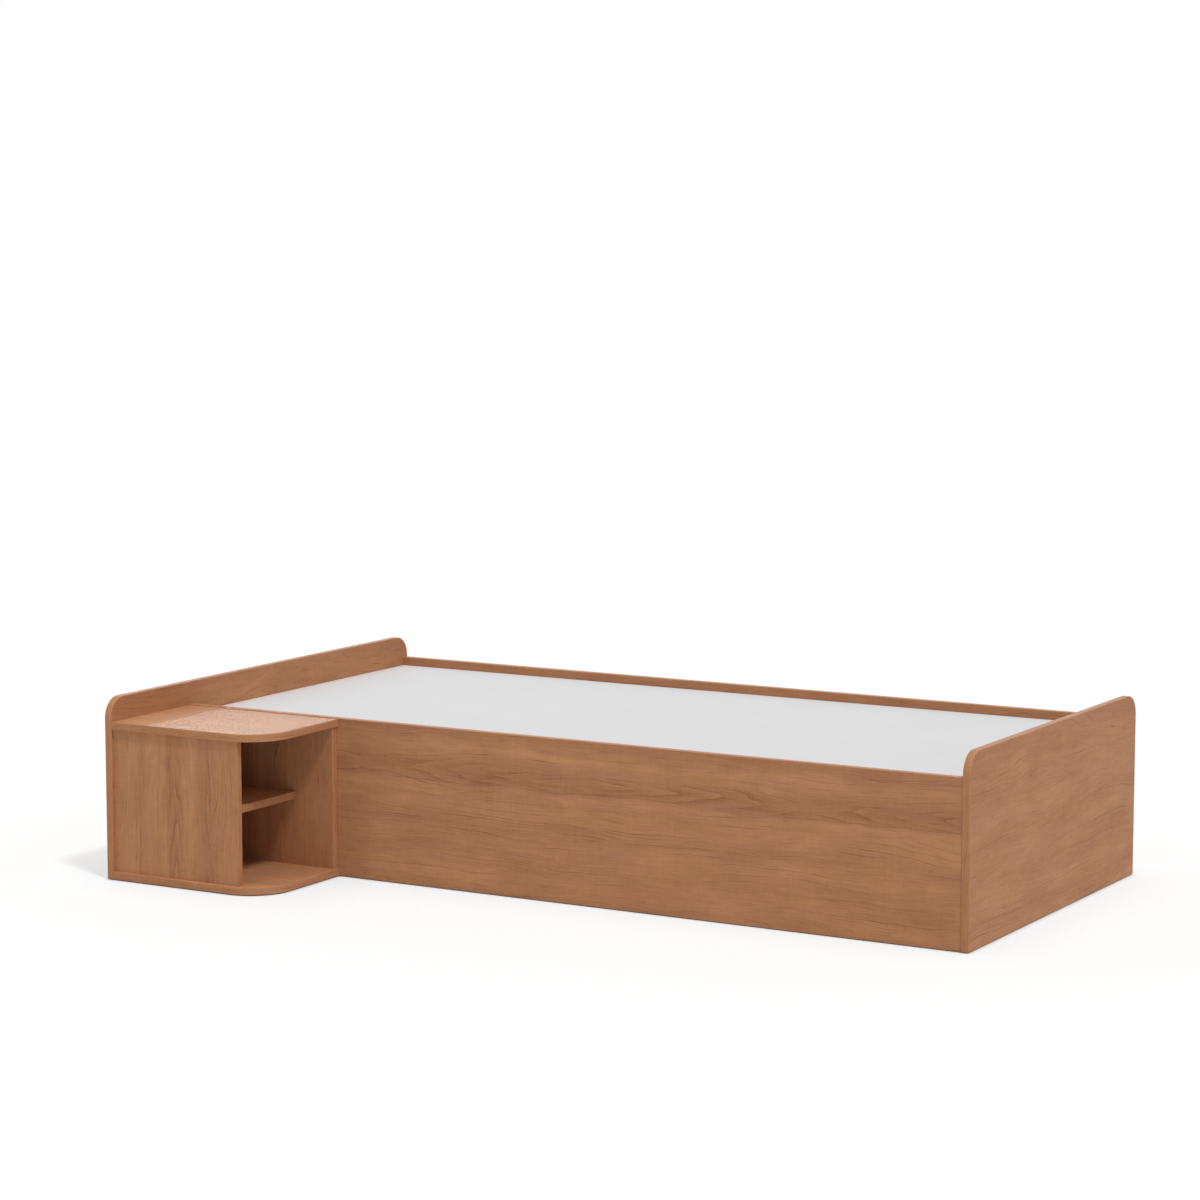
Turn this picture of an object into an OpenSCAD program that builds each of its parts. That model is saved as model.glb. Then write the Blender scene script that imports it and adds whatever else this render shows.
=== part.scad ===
// Single box bed of wood-look melamine boards, with a bedside cabinet built onto its head end.
// Frame: origin on the floor under the middle of the whole outline, +X to the foot end,
// -Y to the cabinet side, +Z up. All sizes in millimetres.

/* [Bed] */
// Overall length over the two end boards
bed_length = 2040; // [1840:10:2240]
// Width of the bed, which is the footboard's width
bed_width = 948; // [798:2:1448]
// Height of headboard and footboard above the floor
end_height = 427; // [400:1:700]
// Radius of the end boards' top corners
end_corner_r = 48; // [12:1:120]
// Height of the rails' top edges above the floor
rail_height = 373; // [330:1:390]
// How far the rails stand back from the end boards' edges
rail_setback = 2; // [0:0.5:6]
// Depth of the mattress base below the rails' top edges
base_recess = 21; // [8:1:40]

/* [Boards] */
// Thickness of every wood-look board
board_t = 18; // [16:0.5:25]
// Thickness of the white mattress base
base_t = 16; // [12:0.5:22]
// Thickness of the plastic edging
edge_t = 2; // [1:0.1:3]
// Radius of the edging's rounded arrises
edge_arris = 1.5; // [0.3:0.1:2]

/* [Cabinet] */
// Depth of the cabinet in front of the bed
cab_depth = 297; // [240:1:450]
// Length of the cabinet's top, from the headboard's inner face
cab_length = 428; // [380:1:700]
// Radius of the free corner of top and bottom
cab_corner_r = 100; // [30:1:140]
// How far the cabinet's top lies below the rails' top edges
cab_drop = 2; // [0.5:0.5:12]
// How far the front panel stands back from the top's front edge
front_setback = 8; // [2:1:20]
// How far the front panel ends short of the cabinet's free end
front_short = 78; // [60:1:120]
// How far the back panel ends short of the cabinet's free end
back_short = 4; // [2:1:30]
// How far the shelf ends short of the cabinet's free end
shelf_short = 108; // [80:1:160]
// Height of the shelf's top face above the floor
shelf_z = 195; // [140:1:240]

/* [Understructure] */
// Width of the support battens, away from the board they are screwed to
batten_w = 25; // [18:1:40]
// Height of the support battens
batten_h = 40; // [25:1:60]
// Screws in each long batten
long_screws = 6; // [3:1:9]
// Screws in each short batten
short_screws = 3; // [2:1:5]
// Distance of the first and last batten screw from the batten's end
screw_margin = 90; // [40:1:140]

/* [Joints] */
// Diameter of the cam fittings
cam_d = 15; // [12:0.5:18]
// Depth of the cam fittings' bores
cam_depth = 13.5; // [12:0.1:14]
// Distance from a cam's axis to the board's end
cam_inset = 34; // [24:1:40]
// Diameter of the cam bolts' heads
bolt_head_d = 6.5; // [5.5:0.1:7]
// Diameter of the cam bolts' shanks
bolt_shank_d = 5.6; // [5:0.1:6]
// Diameter of the cam bolts' necks
bolt_neck_d = 4.2; // [3.5:0.1:4.6]
// Diameter of the threaded end of the cam bolts
bolt_thread_d = 5; // [4.5:0.1:6]
// Length of the threaded end of the cam bolts
bolt_thread = 11; // [8:0.5:13]
// Bore in a board's end that a cam bolt passes through
bolt_bore_d = 8; // [7.2:0.1:9]
// Diameter of the wooden dowels
dowel_d = 8; // [6:0.5:10]
// Length of the wooden dowels
dowel_len = 30; // [25:1:40]
// Depth of a dowel in a board's face
dowel_face = 12; // [8:0.5:13]
// Height of the lowest joint above a board's lower edge
joint_low = 88; // [50:1:110]
// Distance of the highest joint below the battens
joint_drop = 45; // [25:1:70]
// Distance of the cabinet's joints from its corners
cab_joint_inset = 60; // [45:1:80]

/* [Fasteners and feet] */
// Shank diameter of the wood screws
screw_d = 4; // [3:0.1:5]
// Head diameter of the countersunk screws
screw_head_d = 8; // [7:0.1:9.5]
// Depth that a screw bites into the board behind
screw_bite = 12; // [8:0.5:13]
// Diameter of the shelf pins' shanks
pin_d = 5; // [4:0.1:6]
// Depth of the shelf pins in the panels
pin_depth = 10; // [7:0.5:12]
// Reach of a shelf pin's support under the shelf
pin_reach = 9; // [6:0.5:14]
// Height and width of a shelf pin's support
pin_block = 8; // [7:0.5:12]
// Distance of the shelf pins from the shelf's ends
pin_inset = 70; // [50:1:90]
// Diameter of the floor glides
glide_d = 16; // [10:0.5:16]
// Height of the floor glides
glide_h = 2; // [1:0.5:6]
// Diameter of a glide's nail
nail_d = 2.5; // [2:0.1:3.5]
// Length of a glide's nail
nail_len = 11; // [8:0.5:13]
// Distance of the glides from a board's ends
glide_inset = 110; // [90:1:140]

/* [Clearances] */
// Gap round fittings in their bores
fit_gap = 0.1; // [0.05:0.05:0.2]
// Gap round the loose mattress base
base_gap = 1; // [0.5:0.1:3]
// Gap at each side of the loose shelf
shelf_gap = 0.5; // [0.3:0.1:2]
// Gap round the battens in the cross panels' notches
notch_gap = 0.5; // [0.3:0.1:2]

/* [Hidden] */
$fn = 48;
eps = 0.5;

// Planes of the bed
x_head = -bed_length / 2;
x_foot = bed_length / 2;
x_in0 = x_head + board_t;
x_in1 = x_foot - board_t;
inner_length = x_in1 - x_in0;
y_front = -(bed_width + cab_depth) / 2;
y_bed = y_front + cab_depth;
y_rear = y_bed + bed_width;
y_rail0 = y_bed + rail_setback;
y_in0 = y_rail0 + board_t;
y_rail1 = y_rear - rail_setback;
y_in1 = y_rail1 - board_t;
z_foot = glide_h;
z_base = rail_height - base_recess;
z_seat = z_base - base_t;
z_batten = z_seat - batten_h;

// Planes of the cabinet
cab_x1 = x_in0 + cab_length;
cab_z1 = rail_height - cab_drop;
cab_floor = z_foot + board_t;
cab_roof = cab_z1 - board_t;
front_x1 = cab_x1 - front_short;
front_y0 = y_front + front_setback;
front_y1 = front_y0 + board_t;
back_x1 = cab_x1 - back_short;
back_y0 = y_rail0 - board_t;
shelf_x0 = x_in0 + shelf_gap;
shelf_x1 = cab_x1 - shelf_short;
shelf_y0 = front_y1 + shelf_gap;
shelf_y1 = back_y0 - shelf_gap;
shelf_z0 = shelf_z - board_t;

// Heights and places of the joints
joint_z = [z_foot + joint_low, z_batten - joint_drop];
dowel_z = (joint_z[0] + joint_z[1]) / 2;
cross_x = [x_in0 + inner_length / 3, x_in0 + 2 * inner_length / 3];
upright_z = [cab_floor + cab_joint_inset, cab_roof - cab_joint_inset];
flat_y = [y_front + cab_joint_inset, y_rail0 - cab_joint_inset];
arris = min(edge_arris, 0.9 * edge_t);

// A joint is [point on the joint face, direction into the butting board, outward normal of the cam's face]
head_joints = [
    for (y = [y_rail0 + board_t / 2, y_in1 + board_t / 2], z = joint_z)
        [[x_in0, y, z], [1, 0, 0], [0, y < (y_rail0 + y_rail1) / 2 ? 1 : -1, 0]]
];
foot_joints = [for (j = head_joints) [[x_in1, j[0].y, j[0].z], [-1, 0, 0], j[2]]];
cross_joints = [
    for (x = cross_x, z = joint_z, side = [1, -1])
        [[x, side > 0 ? y_in0 : y_in1, z], [0, side, 0], [-1, 0, 0]]
];
front_joints = [for (z = upright_z) [[x_in0, front_y0 + board_t / 2, z], [1, 0, 0], [0, 1, 0]]];
back_joints = [for (z = upright_z) [[x_in0, back_y0 + board_t / 2, z], [1, 0, 0], [0, -1, 0]]];
top_joints = [for (y = flat_y) [[x_in0, y, cab_z1 - board_t / 2], [1, 0, 0], [0, 0, -1]]];
bottom_joints = [for (y = flat_y) [[x_in0, y, z_foot + board_t / 2], [1, 0, 0], [0, 0, -1]]];
cabinet_joints = concat(front_joints, back_joints, top_joints, bottom_joints);

// Dowels: the same form, standing on the face that the butting board meets
head_dowels = [
    for (y = [y_rail0 + board_t / 2, y_in1 + board_t / 2]) [[x_in0, y, dowel_z], [1, 0, 0], [0, 0, 1]]
];
foot_dowels = [for (j = head_dowels) [[x_in1, j[0].y, j[0].z], [-1, 0, 0], [0, 0, 1]]];
dowel_x0 = x_in0 + 1.5 * cab_joint_inset;
front_dowel_x = [dowel_x0, front_x1 - cab_joint_inset];
back_dowel_x = [dowel_x0, back_x1 - cab_joint_inset];
top_dowels = concat(
    [for (x = front_dowel_x) [[x, front_y0 + board_t / 2, cab_roof], [0, 0, -1], [1, 0, 0]]],
    [for (x = back_dowel_x) [[x, back_y0 + board_t / 2, cab_roof], [0, 0, -1], [1, 0, 0]]]
);
bottom_dowels = [for (j = top_dowels) [[j[0].x, j[0].y, cab_floor], [0, 0, 1], [1, 0, 0]]];
cabinet_dowels_at = concat(top_dowels, bottom_dowels);

// Screws: [point on the head's face, direction of travel]
function spread(a, b, n, margin) = [for (i = [0:n - 1]) a + margin + i * (b - a - 2 * margin) / (n - 1)];
batten_screw_z = z_seat - batten_h / 2;
front_screws = [
    for (x = spread(x_in0, x_in1, long_screws, screw_margin))
        [[x, y_in0 + batten_w, batten_screw_z], [0, -1, 0]]
];
rear_screws = [for (s = front_screws) [[s[0].x, y_in1 - batten_w, batten_screw_z], [0, 1, 0]]];
head_screws = [
    for (y = spread(y_in0 + batten_w, y_in1 - batten_w, short_screws, screw_margin))
        [[x_in0 + batten_w, y, batten_screw_z], [-1, 0, 0]]
];
foot_screws = [for (s = head_screws) [[x_in1 - batten_w, s[0].y, batten_screw_z], [1, 0, 0]]];
back_screws = [
    for (x = [x_in0 + 2 * cab_joint_inset, back_x1 - cab_joint_inset / 2], z = joint_z)
        [[x, y_in0, z], [0, -1, 0]]
];

// Shelf pins: [point on the panel's face, direction out of the panel]
pin_x = [shelf_x0 + pin_inset, shelf_x1 - pin_inset];
front_pins = [for (x = pin_x) [[x, front_y1, shelf_z0 - pin_block / 2], [0, 1, 0]]];
back_pins = [for (x = pin_x) [[x, back_y0, shelf_z0 - pin_block / 2], [0, -1, 0]]];

// Glides, one list for each board that they are driven into
end_mid = board_t / 2;
head_glides = [for (y = [y_front + glide_inset, y_bed, y_rear - glide_inset]) [x_head + end_mid, y]];
foot_glides = [for (y = [y_bed + glide_inset, y_rear - glide_inset]) [x_foot - end_mid, y]];
front_rail_glides = [for (x = [cab_x1 + glide_inset, x_in1 - glide_inset]) [x, y_rail0 + end_mid]];
rear_rail_glides = [for (x = [x_in0 + glide_inset, x_in1 - glide_inset]) [x, y_rail1 - end_mid]];
cross_glides = [for (x = cross_x) [x, (y_in0 + y_in1) / 2]];
bottom_glides = [
    [cab_x1 - cab_joint_inset, y_front + cab_joint_inset],
    [cab_x1 - cab_joint_inset, y_rail0 - cab_joint_inset],
    [x_in0 + glide_inset, y_front + cab_joint_inset]
];

wood = [0.63, 0.45, 0.33];
white = [0.87, 0.87, 0.87];
pine = [0.85, 0.71, 0.50];
beech = [0.80, 0.64, 0.43];
zinc = [0.72, 0.72, 0.70];
black = [0.13, 0.13, 0.13];
clear_grey = [0.80, 0.80, 0.78];

// Box between two corners
module span(low, high) {
    translate(low) cube(high - low);
}

// Turns a local frame so that its X and Z point along the given directions at a point
module place(p, dx, dz) {
    dy = cross(dz, dx);
    multmatrix([
        [dx.x, dy.x, dz.x, p.x],
        [dx.y, dy.y, dz.y, p.y],
        [dx.z, dy.z, dz.z, p.z],
        [0, 0, 0, 1]
    ]) children();
}

// Points a local +Z along an axis direction, for round pieces
module aim(p, d) {
    place(p, [d.y, d.z, d.x], d) children();
}

// Section of the edging: flat against the board, rounded arrises outside
module edge_section() {
    intersection() {
        translate([0, -board_t / 2]) square([edge_t, board_t]);
        union() {
            translate([0, -board_t / 2]) square([edge_t - arris, board_t]);
            translate([0, arris - board_t / 2]) square([edge_t, board_t - 2 * arris]);
            for (side = [-1, 1]) {
                translate([edge_t - arris, side * (board_t / 2 - arris)]) circle(arris);
            }
        }
    }
}

// Straight edging along +X, outside towards +Y
module edge_run(length) {
    rotate([90, 0, 90]) linear_extrude(length) edge_section();
}

// Edging round a quarter turn, from +X to +Y
module edge_turn(outer_r) {
    rotate_extrude(angle = 90, $fn = 96) translate([outer_r - edge_t, 0]) edge_section();
}

// Stands a flat shape up as an end board: its X along the bed's width, its Y upwards
module stand_end(x, y) {
    translate([x, y, z_foot]) rotate([90, 0, 90]) children();
}

// Outline of an end board's core, inside its edging
module end_core(width) {
    w = width - 2 * edge_t;
    h = end_height - z_foot - edge_t;
    r = end_corner_r - edge_t;
    translate([edge_t, 0]) {
        square([w, h - r]);
        translate([r, 0]) square([w - 2 * r, h]);
        for (x = [r, w - r]) {
            translate([x, h - r]) circle(r, $fn = 96);
        }
    }
}

// Edging of an end board: up one side, over the top and down the other
module end_edging(width) {
    h = end_height - z_foot;
    r = end_corner_r;
    translate([edge_t, 0, 0]) rotate(90) edge_run(h - r);
    translate([r, h - r, 0]) rotate(90) edge_turn(r);
    translate([r, h - edge_t, 0]) edge_run(width - 2 * r);
    translate([width - r, h - r, 0]) edge_turn(r);
    translate([width - edge_t, h - r, 0]) rotate(-90) edge_run(h - r);
}

// Cam bore in the butting board, with the bolt's bore from the board's end
module cam_bores(joints) {
    for (j = joints) place(j[0], j[1], j[2]) {
        translate([cam_inset, 0, board_t / 2 - cam_depth]) cylinder(d = cam_d, h = cam_depth + eps);
        translate([-eps, 0, 0]) rotate([0, 90, 0]) cylinder(d = bolt_bore_d, h = cam_inset + eps);
    }
}

// Blind hole for a bolt's thread in the board's face
module thread_bores(joints) {
    for (j = joints) place(j[0], j[1], j[2]) {
        translate([-bolt_thread - eps, 0, 0]) rotate([0, 90, 0])
            cylinder(d = bolt_thread_d + 2 * fit_gap, h = bolt_thread + 2 * eps);
    }
}

// Cam fitting: a disc with a pocket that holds the bolt's head behind its neck
module cam() {
    body_d = cam_d - 2 * fit_gap;
    body_h = cam_depth - fit_gap;
    pocket_d = bolt_head_d + 1;
    pocket_h = cam_depth - board_t / 2 + bolt_head_d / 2 + fit_gap;
    neck_w = bolt_neck_d + 2 * fit_gap;
    drive_w = 2;
    drive_depth = 2.5;
    translate([cam_inset, 0, board_t / 2 - body_h]) difference() {
        cylinder(d = body_d, h = body_h);
        translate([0, 0, -eps]) cylinder(d = pocket_d, h = pocket_h + eps);
        translate([-cam_d, -neck_w / 2, -eps]) cube([cam_d, neck_w, pocket_h + eps]);
        for (turn = [0, 90]) {
            rotate(turn) translate([-cam_d / 4, -drive_w / 2, body_h - drive_depth])
                cube([cam_d / 2, drive_w, drive_depth + eps]);
        }
    }
}

// Cam bolt: thread, shank, neck and head in one turned piece
module cam_bolt() {
    head_l = 3;
    neck_l = cam_d / 2 - head_l / 2;
    shank_l = cam_inset - head_l / 2 - neck_l;
    translate([-bolt_thread, 0, 0]) rotate([0, 90, 0]) {
        cylinder(d = bolt_thread_d, h = bolt_thread);
        translate([0, 0, bolt_thread]) cylinder(d = bolt_shank_d, h = shank_l);
        translate([0, 0, bolt_thread + shank_l]) cylinder(d = bolt_neck_d, h = neck_l);
        translate([0, 0, bolt_thread + shank_l + neck_l]) cylinder(d = bolt_head_d, h = head_l);
    }
}

module cams(joints) {
    for (j = joints) place(j[0], j[1], j[2]) cam();
}

module cam_bolts(joints) {
    for (j = joints) place(j[0], j[1], j[2]) cam_bolt();
}

// Blind holes for dowels, on both sides of the joint face
module dowel_bores(joints) {
    for (j = joints) place(j[0], j[1], j[2]) {
        translate([-dowel_face - fit_gap, 0, 0]) rotate([0, 90, 0])
            cylinder(d = dowel_d + 2 * fit_gap, h = dowel_len + 2 * fit_gap);
    }
}

// Dowels with chamfered ends
module dowels(joints) {
    chamfer = 1;
    tip_d = dowel_d - 2 * chamfer;
    for (j = joints) place(j[0], j[1], j[2]) {
        translate([-dowel_face, 0, 0]) rotate([0, 90, 0]) {
            cylinder(d1 = tip_d, d2 = dowel_d, h = chamfer);
            translate([0, 0, chamfer]) cylinder(d = dowel_d, h = dowel_len - 2 * chamfer);
            translate([0, 0, dowel_len - chamfer]) cylinder(d1 = dowel_d, d2 = tip_d, h = chamfer);
        }
    }
}

// Countersunk screw, or with a gap its hole
module screw(length, gap) {
    sink = (screw_head_d - screw_d) / 2;
    cylinder(d = screw_d + 2 * gap, h = length + gap);
    cylinder(d1 = screw_head_d + 2 * gap, d2 = screw_d + 2 * gap, h = sink);
    if (gap > 0) translate([0, 0, -eps]) cylinder(d = screw_head_d + 2 * gap, h = eps);
}

module screws(places, length, gap = 0) {
    for (s = places) aim(s[0], s[1]) screw(length, gap);
}

// Nail holes in the underside of the boards that stand on glides
module nail_bores(places) {
    hole_d = nail_d + 2 * fit_gap;
    for (p = places) translate([p.x, p.y, z_foot - eps]) cylinder(d = hole_d, h = nail_len + fit_gap + eps);
}

module pin_bores(places) {
    for (p = places) aim(p[0] - (pin_depth + fit_gap) * p[1], p[1])
        cylinder(d = pin_d + 2 * fit_gap, h = pin_depth + fit_gap + eps);
}

// Outline of the cabinet's top and bottom boards inside their edging
module cabinet_core() {
    r = cab_corner_r - edge_t;
    x1 = cab_x1 - edge_t;
    y0 = y_front + edge_t;
    translate([x_in0, y0]) square([x1 - r - x_in0, y_rail0 - y0]);
    translate([x1 - r, y0 + r]) square([r, y_rail0 - y0 - r]);
    translate([x1 - r, y0 + r]) circle(r, $fn = 120);
}

// Edging of the cabinet's top and bottom: front edge, round corner, free end
module cabinet_edging(z) {
    r = cab_corner_r;
    translate([0, 0, z + board_t / 2]) {
        translate([cab_x1 - r, y_front + edge_t, 0]) rotate(180) edge_run(cab_x1 - r - x_in0);
        translate([cab_x1 - r, y_front + r, 0]) rotate(-90) edge_turn(r);
        translate([cab_x1 - edge_t, y_rail0, 0]) rotate(-90) edge_run(y_rail0 - y_front - r);
    }
}

// Upright edging on a panel's free end
module upright_edging(x1, y_mid) {
    translate([x1 - edge_t, y_mid, cab_floor]) rotate([0, -90, -90]) edge_run(cab_roof - cab_floor);
}

module headboard() {
    color(wood) difference() {
        stand_end(x_head, y_front) linear_extrude(board_t) end_core(bed_width + cab_depth);
        thread_bores(concat(head_joints, cabinet_joints));
        dowel_bores(head_dowels);
        screws(head_screws, batten_w + screw_bite, fit_gap);
        nail_bores(head_glides);
    }
}

module headboard_edging() {
    color(wood) stand_end(x_head + board_t / 2, y_front) end_edging(bed_width + cab_depth);
}

module footboard() {
    color(wood) difference() {
        stand_end(x_in1, y_bed) linear_extrude(board_t) end_core(bed_width);
        thread_bores(foot_joints);
        dowel_bores(foot_dowels);
        screws(foot_screws, batten_w + screw_bite, fit_gap);
        nail_bores(foot_glides);
    }
}

module footboard_edging() {
    color(wood) stand_end(x_foot - board_t / 2, y_bed) end_edging(bed_width);
}

// Side rail between the end boards, with the bores of its own joints
module rail(y0, joints, end_dowels, screw_places, glides) {
    difference() {
        span([x_in0, y0, z_foot], [x_in1, y0 + board_t, rail_height - edge_t]);
        cam_bores(joints);
        dowel_bores(end_dowels);
        thread_bores(cross_joints);
        screws(screw_places, batten_w + screw_bite, fit_gap);
        nail_bores(glides);
    }
}

module rail_edging(y0) {
    translate([x_in0, y0 + board_t / 2, rail_height - edge_t]) rotate([90, 0, 0]) edge_run(inner_length);
}

function at_front(list) = [for (j = list) if (j[0].y < (y_in0 + y_in1) / 2) j];
function at_rear(list) = [for (j = list) if (j[0].y > (y_in0 + y_in1) / 2) j];

module front_rail() {
    color(wood) difference() {
        rail(
            y_rail0,
            at_front(concat(head_joints, foot_joints)),
            at_front(concat(head_dowels, foot_dowels)),
            front_screws,
            front_rail_glides
        );
        screws(back_screws, board_t + screw_bite, fit_gap);
    }
}

module front_rail_edging() {
    color(wood) rail_edging(y_rail0);
}

module rear_rail() {
    color(wood) rail(
        y_in1,
        at_rear(concat(head_joints, foot_joints)),
        at_rear(concat(head_dowels, foot_dowels)),
        rear_screws,
        rear_rail_glides
    );
}

module rear_rail_edging() {
    color(wood) rail_edging(y_in1);
}

module front_batten() {
    color(pine) difference() {
        span([x_in0, y_in0, z_batten], [x_in1, y_in0 + batten_w, z_seat]);
        screws(front_screws, batten_w + screw_bite, fit_gap);
    }
}

module rear_batten() {
    color(pine) difference() {
        span([x_in0, y_in1 - batten_w, z_batten], [x_in1, y_in1, z_seat]);
        screws(rear_screws, batten_w + screw_bite, fit_gap);
    }
}

module head_batten() {
    color(pine) difference() {
        span([x_in0, y_in0 + batten_w, z_batten], [x_in0 + batten_w, y_in1 - batten_w, z_seat]);
        screws(head_screws, batten_w + screw_bite, fit_gap);
    }
}

module foot_batten() {
    color(pine) difference() {
        span([x_in1 - batten_w, y_in0 + batten_w, z_batten], [x_in1, y_in1 - batten_w, z_seat]);
        screws(foot_screws, batten_w + screw_bite, fit_gap);
    }
}

module batten_screws() {
    color(zinc) screws(concat(front_screws, rear_screws, head_screws, foot_screws), batten_w + screw_bite);
}

// Upright board between the rails, notched round the long battens
module cross_panel(index) {
    x = cross_x[index];
    notch_w = batten_w + notch_gap;
    notch_z = z_batten - notch_gap;
    color(wood) difference() {
        span([x - board_t / 2, y_in0, z_foot], [x + board_t / 2, y_in1, z_seat]);
        span([x - board_t, y_in0 - eps, notch_z], [x + board_t, y_in0 + notch_w, z_seat + eps]);
        span([x - board_t, y_in1 - notch_w, notch_z], [x + board_t, y_in1 + eps, z_seat + eps]);
        cam_bores([for (j = cross_joints) if (j[0].x == x) j]);
        nail_bores([cross_glides[index]]);
    }
}

module cross_panel_1() {
    cross_panel(0);
}

module cross_panel_2() {
    cross_panel(1);
}

module cross_panel_cams() {
    color(zinc) cams(cross_joints);
}

module cross_panel_bolts() {
    color(zinc) cam_bolts(cross_joints);
}

module rail_cams() {
    color(zinc) cams(concat(head_joints, foot_joints));
}

module rail_cam_bolts() {
    color(zinc) cam_bolts(concat(head_joints, foot_joints));
}

module rail_dowels() {
    color(beech) dowels(concat(head_dowels, foot_dowels));
}

// Nail-in glides: a domed foot with its nail
module floor_glides() {
    bevel = glide_h / 2;
    rail_glides = concat(front_rail_glides, rear_rail_glides);
    places = concat(head_glides, foot_glides, rail_glides, cross_glides, bottom_glides);
    color(black) for (p = places) translate([p.x, p.y, 0]) {
        cylinder(d1 = glide_d - 2 * bevel, d2 = glide_d, h = bevel);
        translate([0, 0, bevel]) cylinder(d = glide_d, h = glide_h - bevel);
        translate([0, 0, glide_h]) cylinder(d = nail_d, h = nail_len);
    }
}

module cabinet_top() {
    color(wood) difference() {
        translate([0, 0, cab_roof]) linear_extrude(board_t) cabinet_core();
        cam_bores(top_joints);
        dowel_bores(top_dowels);
    }
}

module cabinet_top_edging() {
    color(wood) cabinet_edging(cab_roof);
}

module cabinet_bottom() {
    color(wood) difference() {
        translate([0, 0, z_foot]) linear_extrude(board_t) cabinet_core();
        cam_bores(bottom_joints);
        dowel_bores(bottom_dowels);
        nail_bores(bottom_glides);
    }
}

module cabinet_bottom_edging() {
    color(wood) cabinet_edging(z_foot);
}

module cabinet_front() {
    color(wood) difference() {
        span([x_in0, front_y0, cab_floor], [front_x1 - edge_t, front_y1, cab_roof]);
        cam_bores(front_joints);
        dowel_bores(cabinet_dowels_at);
        pin_bores(front_pins);
    }
}

module cabinet_front_edging() {
    color(wood) upright_edging(front_x1, front_y0 + board_t / 2);
}

module cabinet_back() {
    color(wood) difference() {
        span([x_in0, back_y0, cab_floor], [back_x1 - edge_t, y_rail0, cab_roof]);
        cam_bores(back_joints);
        dowel_bores(cabinet_dowels_at);
        pin_bores(back_pins);
        screws(back_screws, board_t + screw_bite, fit_gap);
    }
}

module cabinet_back_edging() {
    color(wood) upright_edging(back_x1, back_y0 + board_t / 2);
}

module cabinet_cams() {
    color(zinc) cams(cabinet_joints);
}

module cabinet_cam_bolts() {
    color(zinc) cam_bolts(cabinet_joints);
}

module cabinet_dowels() {
    color(beech) dowels(cabinet_dowels_at);
}

module cabinet_screws() {
    color(zinc) screws(back_screws, board_t + screw_bite);
}

// Shelf supports: a shank in the panel and a flat-topped block under the shelf
module shelf_pins() {
    color(clear_grey) for (p = concat(front_pins, back_pins)) {
        aim(p[0] - pin_depth * p[1], p[1]) cylinder(d = pin_d, h = pin_depth);
        aim(p[0], p[1]) translate([-pin_block / 2, -pin_block / 2, 0])
            cube([pin_block, pin_block, pin_reach]);
    }
}

module cabinet_shelf() {
    color(wood) span([shelf_x0, shelf_y0, shelf_z0], [shelf_x1 - edge_t, shelf_y1, shelf_z]);
}

module cabinet_shelf_edging() {
    color(wood) translate([shelf_x1 - edge_t, shelf_y1, shelf_z0 + board_t / 2]) rotate(-90)
        edge_run(shelf_y1 - shelf_y0);
}

module mattress_base() {
    color(white) span(
        [x_in0 + base_gap, y_in0 + base_gap, z_seat],
        [x_in1 - base_gap, y_in1 - base_gap, z_base]
    );
}

headboard();
headboard_edging();
footboard();
footboard_edging();
front_rail();
front_rail_edging();
rear_rail();
rear_rail_edging();
front_batten();
rear_batten();
head_batten();
foot_batten();
batten_screws();
cross_panel_1();
cross_panel_2();
cross_panel_cams();
cross_panel_bolts();
rail_cams();
rail_cam_bolts();
rail_dowels();
floor_glides();
cabinet_top();
cabinet_top_edging();
cabinet_bottom();
cabinet_bottom_edging();
cabinet_front();
cabinet_front_edging();
cabinet_back();
cabinet_back_edging();
cabinet_cams();
cabinet_cam_bolts();
cabinet_dowels();
cabinet_screws();
shelf_pins();
cabinet_shelf();
cabinet_shelf_edging();
mattress_base();
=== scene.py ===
import math
import bmesh
import bpy
from mathutils import Matrix, Vector


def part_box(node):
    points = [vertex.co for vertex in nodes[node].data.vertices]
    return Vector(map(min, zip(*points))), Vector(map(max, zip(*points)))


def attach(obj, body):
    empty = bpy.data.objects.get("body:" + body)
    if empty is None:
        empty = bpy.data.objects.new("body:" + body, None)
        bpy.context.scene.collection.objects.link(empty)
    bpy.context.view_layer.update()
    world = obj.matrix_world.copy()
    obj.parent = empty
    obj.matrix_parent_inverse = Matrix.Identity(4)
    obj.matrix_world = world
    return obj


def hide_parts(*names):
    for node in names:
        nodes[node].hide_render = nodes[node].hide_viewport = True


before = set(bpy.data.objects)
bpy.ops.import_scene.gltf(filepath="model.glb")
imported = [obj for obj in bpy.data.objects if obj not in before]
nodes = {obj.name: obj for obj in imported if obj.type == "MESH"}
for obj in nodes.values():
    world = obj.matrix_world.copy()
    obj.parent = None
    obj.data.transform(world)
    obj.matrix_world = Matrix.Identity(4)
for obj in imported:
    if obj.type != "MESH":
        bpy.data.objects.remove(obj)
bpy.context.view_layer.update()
scene = bpy.context.scene
print("frame loaded:", len(nodes), "nodes")


# sRGB hex to linear
def toLinear(hexColour):
    parts = [int(hexColour[i:i + 2], 16) / 255 for i in (1, 3, 5)]
    return [c / 12.92 if c <= 0.04045 else ((c + 0.055) / 1.055) ** 2.4 for c in parts] + [1.0]


# adds a node, sets its settings, then fills or links its inputs; returns its outputs
def addNode(tree, kind, inputs=None, **settings):
    node = tree.nodes.new("ShaderNode" + kind)
    for key, value in settings.items():
        setattr(node, key, value)
    for key, value in (inputs or {}).items():
        if isinstance(value, bpy.types.NodeSocket):
            tree.links.new(value, node.inputs[key])
        else:
            node.inputs[key].default_value = value
    return node.outputs


def newMaterial(name):
    material = bpy.data.materials.new(name)
    material.use_nodes = True
    material.node_tree.nodes.clear()
    return material, material.node_tree


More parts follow.
